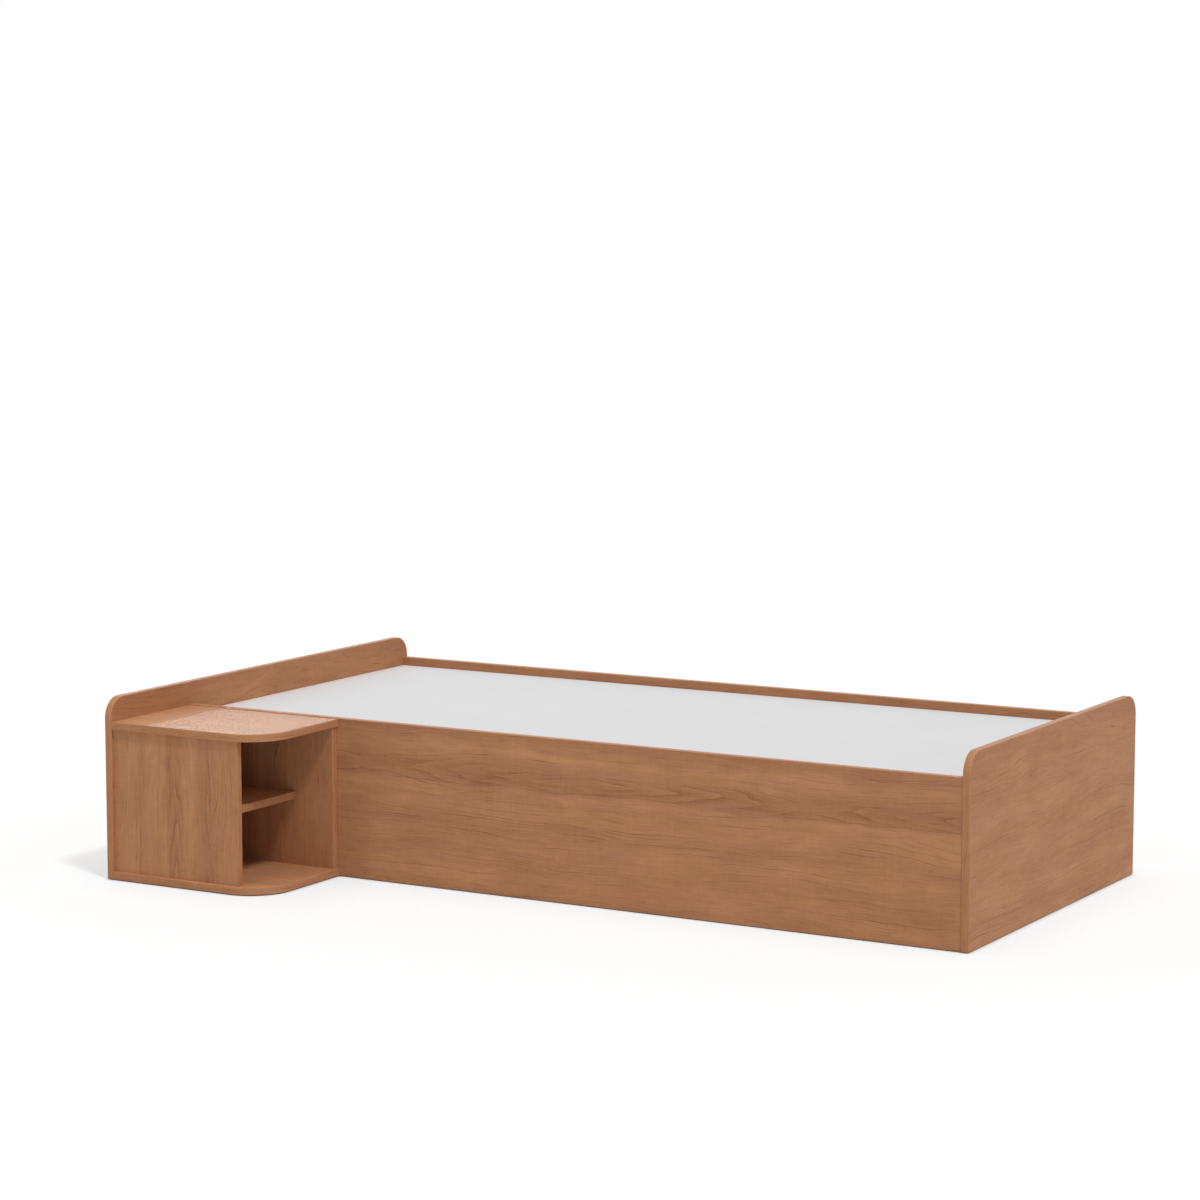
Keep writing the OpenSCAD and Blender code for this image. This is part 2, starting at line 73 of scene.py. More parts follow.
# ends a material with a shader whose bump follows a height
def endMaterial(tree, look, height, sockets):
    bump = addNode(tree, "Bump", {
        "Strength": look["bump"], "Distance": look["bumpMm"] / 1000, "Height": height
    })[0]
    shader = addNode(tree, "BsdfPrincipled", {**sockets, "Normal": bump})[0]
    addNode(tree, "OutputMaterial", {"Surface": shader})


# the photograph's viewpoint
camera = {
    "place": (3.8164, -6.7159, 1.6072),  # metres
    "yaw": 29.99,  # degrees
    "dip": 7.064,
    "lens": 101.24,  # mm
    "sensor": 36,
    "sight": 200,  # metres
}

cameraData = bpy.data.cameras.new("camera")
cameraData.lens = camera["lens"]
cameraData.sensor_width = camera["sensor"]
cameraData.clip_end = camera["sight"]
cameraObject = bpy.data.objects.new("camera", cameraData)
cameraObject.location = camera["place"]
cameraObject.rotation_euler = (math.radians(90 - camera["dip"]), 0, math.radians(camera["yaw"]))
scene.collection.objects.link(cameraObject)
scene.camera = cameraObject
print("camera placed")

# woodgrain melamine: decor paper printed with cherry, pressed under clear resin; satin, low in contrast,
# with arched figure, paler stripes beside it and thin dark lines along the grain
cherry = {
    "deep": "#a67252",  # the darkest broad wood
    "pale": "#d29a70",  # the lightest broad wood
    "gold": "#c08c55",  # patches of yellower wood
    "rose": "#ba826d",  # patches of pinker wood
    "ink": "#5f3b26",  # lines and pores
    "repeatMm": 561,  # the print turns back on itself after this length
    "turnMm": (10, 60),  # arches are gone this near to the turn, and whole this far from it
    # noises: size along and across the grain in mm, then detail
    "noises": {
        "wander": (330, 110, 2), "jitter": (83, 17, 3), "dash": (150, 25, 2), "streak": (330, 12.5, 3),
        "fibre": (70, 3, 3), "mottle": (42, 8.3, 3), "pore": (38, 1.5, 1), "ripple": (7.7, 45, 2),
        "cloud": (143, 62, 3), "hue": (250, 38, 2),
    },
    "noiseRoughness": 0.55,
    "noiseApart": 3.7,  # keeps the noises unlike each other
    "wanderMm": 11.0,  # how far the grain strays sideways
    # arched figures: place of a trunk's heart across the sheet and depth below it in mm, then its rise
    "hearts": [
        {"acrossMm": 97, "depthMm": 6, "rise": 0.075},
        {"acrossMm": -23, "depthMm": 50, "rise": -0.07},
        {"acrossMm": 600, "depthMm": 12, "rise": 0.21},
    ],
    "archMm": (14.4, 28.8),  # a figure is whole this near to its middle line, and gone this far from it
    "tipMm": 16,  # how far from its middle line an arch runs straight to a point
    "ringMm": 8.0,  # growth rings
    "ringShake": 0.2,  # how far they shake, in rings
    "lineMm": 2.4,  # their dark lines, drawn about twice as wide as real ones to show in the render
    "leastLine": 0.006,  # half the least width of a line, in rings
    "ringDash": (-0.25, 0.6),  # the dash noise where lines break off, and where they are whole
    "archWhole": 0.3,  # how much more of a line is left inside an arch
    "faintRings": 0.4,  # this share of the rings is faint
    "faintPower": 0.08,
    "archPower": 0.7,  # the least power of a ring inside an arch
    # long dark lines: place across the sheet at either end of the run in mm, then power
    "longLines": [
        (12, 26, 0.4), (119, 122, 0.6), (156, 149, 0.7), (198, 177, 0.8), (222, 212, 0.45),
        (284, 258, 0.5), (299, 270, 0.4), (322, 327, 0.7), (360, 383, 0.7), (468, 487, 0.7),
    ],
    "longDash": (-0.7, 0.4),
    "swayMm": {"jitter": 1.2, "mottle": 0.8},  # how far noises push the long lines aside
    # stripes: place across the sheet in mm, 0 for dark wood to 1 for light
    "stripes": [
        (-40, 0.5), (2, 0.1), (28, 0.5), (42, 1.0), (62, 0.52), (92, 0.08), (117, 0.05), (131, 0.78),
        (150, 0.58), (174, 0.7), (210, 0.32), (234, 0.62), (290, 0.38), (340, 0.64), (372, 0.3),
        (410, 0.7), (450, 0.45), (500, 0.5), (560, 0.15),
    ],
    "ebb": 0.45,  # how far the clouds strengthen and weaken the stripes
    # tone: its middle and what each thing adds to it, in parts of the way from deep to pale
    "middle": 0.485,
    "stripeDepth": 0.24,
    "depths": {"streak": 0.13, "fibre": 0.15, "mottle": 0.12, "ripple": 0.07, "cloud": 0.22},
    "smudge": {"depth": -0.55, "sharp": 3.0},  # dark wood outside an arch's line
    "rim": {"depth": 0.3, "sharp": 8.0},  # a pale rim inside it
    "hueSpread": 0.6,
    "hueShare": 0.2,
    "lineDepth": 0.58,
    "poreFrom": (0.45, 0.9),  # the pore noise where pores begin, and where they are deepest
    "poreDepth": 0.2,
    "roughness": 0.3,
    "roughSpread": 0.03,
    "ior": 1.1,
    "bump": 0.2,
    "bumpMm": 0.04,
}


# noises over the sheet, and the place across it that follows the wandering grain
def sheetNoises(tree, along, across, seed):
    field = {}
    flow = across
    for number, (name, (alongMm, acrossMm, detail)) in enumerate(cherry["noises"].items()):
        place = addNode(tree, "CombineXYZ", {0: along, 1: flow})[0]
        layer = seed + cherry["noiseApart"] * number
        spot = addNode(tree, "VectorMath", {
            0: place, 1: (1000 / alongMm, 1000 / acrossMm, 0), 2: (0, 0, layer)
        }, operation="MULTIPLY_ADD")[0]
        noise = addNode(tree, "TexNoise", {
            "Vector": spot, "Scale": 1, "Detail": detail, "Roughness": cherry["noiseRoughness"]
        })["Fac"]
        # from about 0.25 to 0.75 out to about -1 to 1
        field[name] = addNode(tree, "Math", {0: noise, 1: 4.0, 2: -2.0}, operation="MULTIPLY_ADD")[0]
        if name == "wander":  # the other noises follow the grain
            flow = addNode(tree, "Math", {
                0: field[name], 1: cherry["wanderMm"] / 1000, 2: across
            }, operation="MULTIPLY_ADD")[0]
    return field, flow


# the way aside and down to the nearest heart; the sheet is a slice of tapering trunks
def nearestHeart(tree, run, flow):
    trunks = []
    for heart in cherry["hearts"]:
        aside = addNode(tree, "Math", {0: flow, 1: heart["acrossMm"] / 1000}, operation="SUBTRACT")[0]
        down = addNode(tree, "Math", {
            0: run, 1: heart["rise"], 2: heart["depthMm"] / 1000
        }, operation="MULTIPLY_ADD")[0]
        way = addNode(tree, "CombineXYZ", {0: aside, 1: down})[0]
        trunks.append((way, addNode(tree, "VectorMath", {0: way}, operation="LENGTH")["Value"]))
    nearest, least = trunks[0]
    for way, distance in trunks[1:]:
        closer = addNode(tree, "Math", {0: distance, 1: least}, operation="LESS_THAN")[0]
        nearest = addNode(tree, "Mix", {0: closer, 4: nearest, 5: way}, data_type="VECTOR")[1]
        least = addNode(tree, "Math", {0: distance, 1: least}, operation="MINIMUM")[0]
    return nearest


# rings, which close into arches above a heart: their lines, the place between lines, how strong arches are
def archedRings(tree, run, flow, dashNoise, shakeNoise):
    nearest = nearestHeart(tree, run, flow)
    aside, down, _ = addNode(tree, "SeparateXYZ", {0: nearest})

    # an arch comes to a point on its middle line
    fromMiddle = addNode(tree, "Math", {0: aside}, operation="ABSOLUTE")[0]
    blunt = addNode(tree, "CombineXYZ", {0: aside, 1: cherry["tipMm"] / 1000})[0]
    blunt = addNode(tree, "VectorMath", {0: blunt}, operation="LENGTH")["Value"]
    radius = addNode(tree, "Math", {0: fromMiddle, 1: blunt}, operation="MULTIPLY")[0]
    radius = addNode(tree, "Math", {0: down, 1: down, 2: radius}, operation="MULTIPLY_ADD")[0]
    radius = addNode(tree, "Math", {0: radius}, operation="SQRT")[0]

    # a line keeps its width where the slice meets the ring at a slant; the first heart's rise does for all
    slant = addNode(tree, "VectorMath", {
        0: nearest, 1: (1, cherry["hearts"][0]["rise"], 0)
    }, operation="MULTIPLY")[0]
    slant = addNode(tree, "VectorMath", {0: slant}, operation="LENGTH")["Value"]
    slant = addNode(tree, "Math", {0: slant, 1: radius}, operation="DIVIDE")[0]
    halfLine = addNode(tree, "Math", {
        0: slant, 1: cherry["lineMm"] / cherry["ringMm"] / 2, 2: cherry["leastLine"]
    }, operation="MULTIPLY_ADD")[0]
    ringCount = addNode(tree, "Math", {0: radius, 1: 1000 / cherry["ringMm"]}, operation="MULTIPLY")[0]
    ringCount = addNode(tree, "Math", {
        0: shakeNoise, 1: cherry["ringShake"], 2: ringCount
    }, operation="MULTIPLY_ADD")[0]
    between = addNode(tree, "Math", {0: ringCount}, operation="FRACT")[0]  # 0 at a line, 1 at the next
    ringNumber = addNode(tree, "Math", {0: ringCount}, operation="ROUND")[0]
    fromLine = addNode(tree, "Math", {0: ringCount, 1: ringNumber}, operation="SUBTRACT")[0]
    fromLine = addNode(tree, "Math", {0: fromLine}, operation="ABSOLUTE")[0]
    line = addNode(tree, "MapRange", {
        "Value": fromLine, "From Min": 0.0, "From Max": halfLine, "To Min": 1.0, "To Max": 0.0
    }, interpolation_type="SMOOTHSTEP")[0]

    # each ring has its own power, and arches show more of their rings
    archNear, archFar = cherry["archMm"]
    arch = addNode(tree, "MapRange", {
        "Value": fromMiddle, "From Min": archNear / 1000, "From Max": archFar / 1000,
        "To Min": 1.0, "To Max": 0.0
    }, interpolation_type="SMOOTHSTEP")[0]
    power = addNode(tree, "TexWhiteNoise", {"W": ringNumber}, noise_dimensions="1D")["Value"]
    power = addNode(tree, "MapRange", {
        "Value": power, "From Min": cherry["faintRings"], "To Min": cherry["faintPower"]
    })[0]
    archPower = addNode(tree, "Math", {0: arch, 1: cherry["archPower"]}, operation="MULTIPLY")[0]
    power = addNode(tree, "Math", {0: power, 1: archPower}, operation="MAXIMUM")[0]
    line = addNode(tree, "Math", {0: line, 1: power}, operation="MULTIPLY")[0]
    broken, whole = cherry["ringDash"]
    dash = addNode(tree, "MapRange", {
        "Value": dashNoise, "From Min": broken, "From Max": whole
    }, interpolation_type="SMOOTHSTEP")[0]
    dash = addNode(tree, "Math", {
        0: arch, 1: cherry["archWhole"], 2: dash
    }, operation="MULTIPLY_ADD", use_clamp=True)[0]
    line = addNode(tree, "Math", {0: line, 1: dash}, operation="MULTIPLY")[0]

    # arches fade where the print turns back
    toTurn = addNode(tree, "Math", {0: cherry["repeatMm"] / 1000, 1: run}, operation="SUBTRACT")[0]
    toTurn = addNode(tree, "Math", {0: toTurn, 1: run}, operation="MINIMUM")[0]
    turnNear, turnFar = cherry["turnMm"]
    fade = addNode(tree, "MapRange", {
        "Value": toTurn, "From Min": turnNear / 1000, "From Max": turnFar / 1000
    }, interpolation_type="SMOOTHSTEP")[0]
    fade = addNode(tree, "Mix", {0: arch, 2: 1.0, 3: fade})[0]
    line = addNode(tree, "Math", {0: line, 1: fade}, operation="MULTIPLY")[0]
    strength = addNode(tree, "Math", {0: arch, 1: dash}, operation="MULTIPLY")[0]
    strength = addNode(tree, "Math", {0: strength, 1: fade}, operation="MULTIPLY")[0]
    return line, between, strength


# adds a few longer lines that cross the rings at a slant
def addLongLines(tree, run, flow, field, line):
    broken, whole = cherry["longDash"]
    dash = addNode(tree, "MapRange", {
        "Value": field["dash"], "From Min": broken, "From Max": whole
    }, interpolation_type="SMOOTHSTEP")[0]
    sway = flow
    for name, mm in cherry["swayMm"].items():
        sway = addNode(tree, "Math", {0: field[name], 1: mm / 1000, 2: sway}, operation="MULTIPLY_ADD")[0]
    for startMm, endMm, power in cherry["longLines"]:
        middle = addNode(tree, "Math", {
            0: run, 1: (endMm - startMm) / cherry["repeatMm"], 2: startMm / 1000
        }, operation="MULTIPLY_ADD")[0]
        fromLine = addNode(tree, "Math", {0: sway, 1: middle}, operation="SUBTRACT")[0]
        fromLine = addNode(tree, "Math", {0: fromLine}, operation="ABSOLUTE")[0]
        longLine = addNode(tree, "MapRange", {
            "Value": fromLine, "From Max": cherry["lineMm"] / 2000, "To Min": power, "To Max": 0.0
        }, interpolation_type="SMOOTHSTEP")[0]
        longLine = addNode(tree, "Math", {0: longLine, 1: dash}, operation="MULTIPLY")[0]
        line = addNode(tree, "Math", {0: line, 1: longLine}, operation="MAXIMUM")[0]
    return line


# light and dark stripes across the sheet, from -1 to 1, stronger and weaker with the clouds
def crossStripes(tree, flow, cloud):
    low, high = cherry["stripes"][0][0], cherry["stripes"][-1][0]
    onRamp = addNode(tree, "MapRange", {"Value": flow, "From Min": low / 1000, "From Max": high / 1000})[0]
    stripe = addNode(tree, "ValToRGB", {0: onRamp})["Color"]
    ramp = stripe.node.color_ramp
    ramp.interpolation = "EASE"
    while len(ramp.elements) < len(cherry["stripes"]):
        ramp.elements.new(0.5)
    for element, (mm, tone) in zip(ramp.elements, cherry["stripes"]):
        element.position = (mm - low) / (high - low)
        element.color = (tone, tone, tone, 1)
    stripe = addNode(tree, "Math", {0: stripe, 1: 2.0, 2: -1.0}, operation="MULTIPLY_ADD")[0]
    ebb = addNode(tree, "Math", {0: cloud, 1: cherry["ebb"], 2: 1.0}, operation="MULTIPLY_ADD")[0]
    return addNode(tree, "Math", {0: stripe, 1: ebb}, operation="MULTIPLY")[0]


# colour, roughness and height of the print at a place along and across the sheet, in metres
def cherryPrint(tree, along, across, seed=0.0, paintedLightShift=0.0, rougher=0.0):
    run = addNode(tree, "Math", {0: along, 1: cherry["repeatMm"] / 1000}, operation="PINGPONG")[0]
    field, flow = sheetNoises(tree, along, across, seed)
    line, between, strength = archedRings(tree, run, flow, field["dash"], field["jitter"])
    line = addLongLines(tree, run, flow, field, line)

    # tone: stripes, noises, then a smudge outside each arch and a rim inside it
    # paintedLightShift moves the whole tone lighter or darker for some boards: painted light or painted
    # shade
    tone = addNode(tree, "Math", {
        0: crossStripes(tree, flow, field["cloud"]), 1: cherry["stripeDepth"], 2: cherry["middle"] + paintedLightShift
    }, operation="MULTIPLY_ADD")[0]
    for name, depth in cherry["depths"].items():
        tone = addNode(tree, "Math", {0: field[name], 1: depth, 2: tone}, operation="MULTIPLY_ADD")[0]
    outside = addNode(tree, "Math", {0: 1.0, 1: between}, operation="SUBTRACT")[0]
    for part, look in ((outside, cherry["smudge"]), (between, cherry["rim"])):
        part = addNode(tree, "Math", {0: part, 1: look["sharp"]}, operation="POWER")[0]
        part = addNode(tree, "Math", {0: part, 1: strength}, operation="MULTIPLY")[0]
        tone = addNode(tree, "Math", {0: part, 1: look["depth"], 2: tone}, operation="MULTIPLY_ADD")[0]
    ground = addNode(tree, "Mix", {
        0: tone, 6: toLinear(cherry["deep"]), 7: toLinear(cherry["pale"])
    }, data_type="RGBA", clamp_factor=False)[2]
    hue = addNode(tree, "Math", {
        0: field["hue"], 1: cherry["hueSpread"], 2: 0.5
    }, operation="MULTIPLY_ADD", use_clamp=True)[0]
    tint = addNode(tree, "Mix", {
        0: hue, 6: toLinear(cherry["gold"]), 7: toLinear(cherry["rose"])
    }, data_type="RGBA")[2]
    ground = addNode(tree, "Mix", {0: cherry["hueShare"], 6: ground, 7: tint}, data_type="RGBA")[2]

    # lines and pores in ink
    poreStart, poreEnd = cherry["poreFrom"]
    pore = addNode(tree, "MapRange", {
        "Value": field["pore"], "From Min": poreStart, "From Max": poreEnd, "To Max": cherry["poreDepth"]
    }, interpolation_type="SMOOTHSTEP")[0]
    ink = addNode(tree, "Math", {
        0: line, 1: cherry["lineDepth"], 2: pore
    }, operation="MULTIPLY_ADD", use_clamp=True)[0]
    colour = addNode(tree, "Mix", {0: ink, 6: ground, 7: toLinear(cherry["ink"])}, data_type="RGBA")[2]
    rough = addNode(tree, "Math", {
        0: field["fibre"], 1: cherry["roughSpread"], 2: cherry["roughness"] + rougher
    }, operation="MULTIPLY_ADD")[0]
    height = addNode(tree, "Math", {0: field["fibre"], 1: pore}, operation="SUBTRACT")[0]
    return colour, rough, height


# chipboard: pressed flakes of mixed woods, seen where a board has no edging
chipboard = {"pale": "#c9ab82", "flake": "#9c7a52", "flakeMm": 3.5, "roughness": 0.85}


# turns a board's cut sides, which don't face along the axis through it, into bare chipboard
def bareSides(tree, coords, throughAxis, colour, rough):
    facing = addNode(tree, "SeparateXYZ", {0: coords["Normal"]})[throughAxis]
    facing = addNode(tree, "Math", {0: facing}, operation="ABSOLUTE")[0]
    side = addNode(tree, "Math", {0: facing, 1: 0.5}, operation="LESS_THAN")[0]
    flakes = addNode(tree, "TexVoronoi", {"Vector": coords["Object"], "Scale": 1000 / chipboard["flakeMm"]})
    flakeMix = addNode(tree, "SeparateXYZ", {0: flakes["Color"]})[0]
    raw = addNode(tree, "Mix", {
        0: flakeMix, 6: toLinear(chipboard["pale"]), 7: toLinear(chipboard["flake"])
    }, data_type="RGBA")[2]
    skin = addNode(tree, "Mix", {0: side, 6: colour, 7: raw}, data_type="RGBA")[2]
    skinRough = addNode(tree, "Mix", {0: side, 2: rough, 3: chipboard["roughness"]})[0]
    return skin, skinRough


# how each board is cut from the sheet: the axes along, across and through it, where the sheet starts on the
# first two in metres, which way it runs across, how large it is printed, and a shift along it for each
# metre from one face, which gives other faces another stretch of the print
flatBoard = {"axes": "XYZ", "start": (-0.95, -0.92), "way": 1, "size": 1.0, "face": 0.371, "shift": 1.9}
boardLooks = {
    "railMelamine": {
        "axes": "XZY", "start": (0.081, 0.373), "way": -1, "size": 1.0, "face": -0.3235, "shift": 1.3,
    },
    "endMelamine": {
        "axes": "YZX", "start": (-0.4056, -0.189), "way": 1, "size": 1.1, "face": 0, "shift": 0,
        # the end boards' print is a shade darker: painted shade, standing in for less light on their faces
        "paintedLightShift": -0.1,
    },
    "panelMelamine": {
        "axes": "ZXY", "start": (-0.147, -0.7445), "way": -1, "size": 0.85, "face": -0.6145, "shift": 1.7,
    },
    # the shelf and bottom get a lighter print: painted light, standing in for more light inside the
    # cabinet's shade
    "shelfMelamine": {**flatBoard, "paintedLightShift": 0.25},
    "topMelamine": {**flatBoard, "ior": 1.55, "rougher": 0.12},  # catches the lamp behind it
}


def makeBoardMaterial(name, look):
    material, tree = newMaterial(name)
    coords = addNode(tree, "TexCoord")
    place = addNode(tree, "SeparateXYZ", {0: coords["Object"]})
    alongAxis, acrossAxis, throughAxis = look["axes"]
    along = addNode(tree, "Math", {
        0: place[throughAxis], 1: look["shift"], 2: -look["start"][0] - look["face"] * look["shift"]
    }, operation="MULTIPLY_ADD")[0]
    along = addNode(tree, "Math", {0: place[alongAxis], 1: along}, operation="ADD")[0]
    along = addNode(tree, "Math", {0: along, 1: look["size"]}, operation="DIVIDE")[0]
    scale = look["way"] / look["size"]
    across = addNode(tree, "Math", {
        0: place[acrossAxis], 1: scale, 2: -look["start"][1] * scale
    }, operation="MULTIPLY_ADD")[0]
    colour, rough, height = cherryPrint(
        tree, along, across, paintedLightShift=look.get("paintedLightShift", 0.0), rougher=look.get("rougher", 0.0))
    colour, rough = bareSides(tree, coords, throughAxis, colour, rough)
    endMaterial(tree, cherry, height, {
        "Base Color": colour, "Roughness": rough, "IOR": look.get("ior", cherry["ior"])
    })
    return material


boardMaterials = {name: makeBoardMaterial(name, look) for name, look in boardLooks.items()}

# ABS edging: the same print on an extruded band, its grain along the run, read from the band's own UV
absEdging = {"acrossMm": 203, "seed": 5.0}  # the stretch of the sheet that the bands show
edgingMaterial, tree = newMaterial("absEdging")
place = addNode(tree, "SeparateXYZ", {0: addNode(tree, "UVMap", uv_map="grain")[0]})
across = addNode(tree, "Math", {0: place[1], 1: absEdging["acrossMm"] / 1000}, operation="ADD")[0]
colour, rough, height = cherryPrint(tree, place[0], across, absEdging["seed"])
endMaterial(tree, cherry, height, {"Base Color": colour, "Roughness": rough, "IOR": cherry["ior"]})

# white melamine: matt resin paper with a fine pearl texture, a shade greyer in broad patches
whiteBoard = {
    "colour": "#ddddde", "grey": "#d8d8d9",
    "pearl": (1.6, 2), "patch": (170, 3),  # size in mm, detail
    "roughness": (0.55, 0.65), "ior": 1.2, "bump": 0.3, "bumpMm": 0.06,
}
whiteMaterial, tree = newMaterial("whiteMelamine")
coords = addNode(tree, "TexCoord")
pearl, patch = (addNode(tree, "TexNoise", {
    "Vector": coords["Object"], "Scale": 1000 / mm, "Detail": detail
})["Fac"] for mm, detail in (whiteBoard["pearl"], whiteBoard["patch"]))
colour = addNode(tree, "Mix", {
    0: patch, 6: toLinear(whiteBoard["colour"]), 7: toLinear(whiteBoard["grey"])
}, data_type="RGBA")[2]
smooth, dull = whiteBoard["roughness"]
rough = addNode(tree, "MapRange", {"Value": pearl, "To Min": smooth, "To Max": dull})[0]
colour, rough = bareSides(tree, coords, "Z", colour, rough)
endMaterial(tree, whiteBoard, pearl, {"Base Color": colour, "Roughness": rough, "IOR": whiteBoard["ior"]})

# plain finishes: one noise, most of it between low and high, moves colour, gloss and bump
plainNoise = {"detail": 3, "low": 0.3, "high": 0.7, "bump": 0.3, "bumpMm": 0.1}
# sizeMm is the noise's size on X, Y and Z
plainLooks = {
    # turned beech: pale, fine, short flecks along the dowel
    "turnedBeech": {
        "colour": "#d0a874", "second": "#bd925d", "sizeMm": (16, 2, 2), "roughness": (0.5, 0.7),
    },
    # bright zinc plate on steel and die-cast zinc: cool grey with a slight cloud
    "zincPlate": {
        "colour": "#c3c4c2", "second": "#a9aaa8", "sizeMm": (3, 3, 3), "roughness": (0.25, 0.4),
        "metallic": 1.0,
    },
    # moulded clear plastic: milky, glossy
    "clearPlastic": {
        "colour": "#d3d2cc", "second": "#c6c5bf", "sizeMm": (5, 5, 5), "roughness": (0.2, 0.3),
    },
    # moulded black polyethylene: dull, slightly scuffed
    "blackPlastic": {
        "colour": "#232323", "second": "#1b1b1b", "sizeMm": (2.5, 2.5, 2.5), "roughness": (0.45, 0.6),
    },
}


def makePlainMaterial(name, look):
    material, tree = newMaterial(name)
    coords = addNode(tree, "TexCoord")
    spot = addNode(tree, "VectorMath", {
        0: coords["Object"], 1: [1000 / mm for mm in look["sizeMm"]]
    }, operation="MULTIPLY")[0]
    noise = addNode(tree, "TexNoise", {"Vector": spot, "Scale": 1, "Detail": plainNoise["detail"]})["Fac"]
    colour = addNode(tree, "Mix", {
        0: noise, 6: toLinear(look["colour"]), 7: toLinear(look["second"])
    }, data_type="RGBA")[2]
    smooth, dull = look["roughness"]
    rough = addNode(tree, "MapRange", {
        "Value": noise, "From Min": plainNoise["low"], "From Max": plainNoise["high"],
        "To Min": smooth, "To Max": dull
    })[0]
    endMaterial(tree, plainNoise, noise, {
        "Base Color": colour, "Roughness": rough, "Metallic": look.get("metallic", 0.0)
    })
    return material


plainMaterials = {name: makePlainMaterial(name, look) for name, look in plainLooks.items()}

# planed pine: pale and matt, with darker lines of late wood along the batten and a knot here and there
pine = {
    "pale": "#e2c596", "late": "#c4955c", "knot": "#7d5433",
    "ringMm": 3.2,
    "ringSlant": 0.45,  # how far the rings lean over with height
    "wanderMm": 15,  # how far the rings stray over the whole span of their noise
    "wanderScale": (6.25, 18, 18),  # that noise's cells per metre along, across and up
    "wanderDetail": 2,
    "knotGapMm": 230, "knotMm": 9,
    "knotFade": 1.6,  # where a knot's colour ends, in its radii
    "bulgeReach": 5,  # how far round a knot the rings bend, in its radii
    "bulgeRings": 2.0,  # and by how much
    "lateSharp": 2.5, "lateDepth": 0.75,
    "roughness": 0.62,
    "lateGloss": 0.12,  # how much smoother late wood is
    "bump": 0.3, "bumpMm": 0.1,
}


def makePineMaterial(name, alongAxis, acrossAxis):
    material, tree = newMaterial(name)
    coords = addNode(tree, "TexCoord")
    place = addNode(tree, "SeparateXYZ", {0: coords["Object"]})
    turned = addNode(tree, "CombineXYZ", {0: place[alongAxis], 1: place[acrossAxis], 2: place["Z"]})[0]
    # a knot sits somewhere in each cell, and shows where the batten cuts it
    cell = addNode(tree, "VectorMath", {
        0: turned, 1: [1000 / pine["knotGapMm"]] * 3
    }, operation="MULTIPLY")[0]
    fromKnot = addNode(tree, "TexVoronoi", {"Vector": cell, "Scale": 1})["Distance"]
    knotRadius = pine["knotMm"] / 2 / pine["knotGapMm"]
    knot = addNode(tree, "MapRange", {
        "Value": fromKnot, "From Min": knotRadius, "From Max": pine["knotFade"] * knotRadius,
        "To Min": 1.0, "To Max": 0.0
    }, interpolation_type="SMOOTHSTEP")[0]
    bulge = addNode(tree, "MapRange", {
        "Value": fromKnot, "From Min": 0.0, "From Max": pine["bulgeReach"] * knotRadius,
        "To Min": pine["bulgeRings"], "To Max": 0.0
    }, interpolation_type="SMOOTHSTEP")[0]
    spot = addNode(tree, "VectorMath", {0: turned, 1: pine["wanderScale"]}, operation="MULTIPLY")[0]
    wander = addNode(tree, "TexNoise", {"Vector": spot, "Scale": 1, "Detail": pine["wanderDetail"]})["Fac"]
    wander = addNode(tree, "Math", {
        0: wander, 1: pine["wanderMm"] / pine["ringMm"], 2: bulge
    }, operation="MULTIPLY_ADD")[0]
    section = addNode(tree, "CombineXYZ", {0: place[acrossAxis], 1: place["Z"]})[0]
    ring = addNode(tree, "VectorMath", {
        0: section, 1: (1000 / pine["ringMm"], 1000 * pine["ringSlant"] / pine["ringMm"], 0)
    }, operation="DOT_PRODUCT")["Value"]
    ring = addNode(tree, "Math", {0: ring, 1: wander}, operation="ADD")[0]
    ring = addNode(tree, "Math", {0: ring}, operation="FRACT")[0]
    late = addNode(tree, "Math", {0: ring, 1: pine["lateSharp"]}, operation="POWER")[0]
    late = addNode(tree, "Math", {0: late, 1: pine["lateDepth"]}, operation="MULTIPLY")[0]
    wood = addNode(tree, "Mix", {
        0: late, 6: toLinear(pine["pale"]), 7: toLinear(pine["late"])
    }, data_type="RGBA")[2]
    wood = addNode(tree, "Mix", {0: knot, 6: wood, 7: toLinear(pine["knot"])}, data_type="RGBA")[2]
    rough = addNode(tree, "Math", {
        0: late, 1: -pine["lateGloss"], 2: pine["roughness"]
    }, operation="MULTIPLY_ADD")[0]
    endMaterial(tree, pine, late, {"Base Color": wood, "Roughness": rough})
    return material


pineMaterials = {
    "planedPineLong": makePineMaterial("planedPineLong", "X", "Y"),
    "planedPineCross": makePineMaterial("planedPineCross", "Y", "X"),
}

# the nodes that keep their own shape
nodeMaterials = {
    "railMelamine": ["front_rail", "rear_rail"],
    "endMelamine": ["headboard", "footboard", "cross_panel_1", "cross_panel_2"],
    "panelMelamine": ["cabinet_front", "cabinet_back"],
    "shelfMelamine": ["cabinet_bottom", "cabinet_shelf"],
    "topMelamine": ["cabinet_top"],
    "planedPineLong": ["front_batten", "rear_batten"],
    "planedPineCross": ["head_batten", "foot_batten"],
    "zincPlate": ["rail_cams", "cross_panel_cams", "cabinet_cams"],
    "whiteMelamine": ["mattress_base"],
}
finishes = {**boardMaterials, **plainMaterials, **pineMaterials, "whiteMelamine": whiteMaterial}
for finish, names in nodeMaterials.items():
    for name in names:
        nodes[name].data.materials.clear()
        nodes[name].data.materials.append(finishes[finish])
print("finishes given to", sum(len(names) for names in nodeMaterials.values()), "nodes")

softAngle = math.radians(35)  # faces that meet at less than this are shaded as one surface


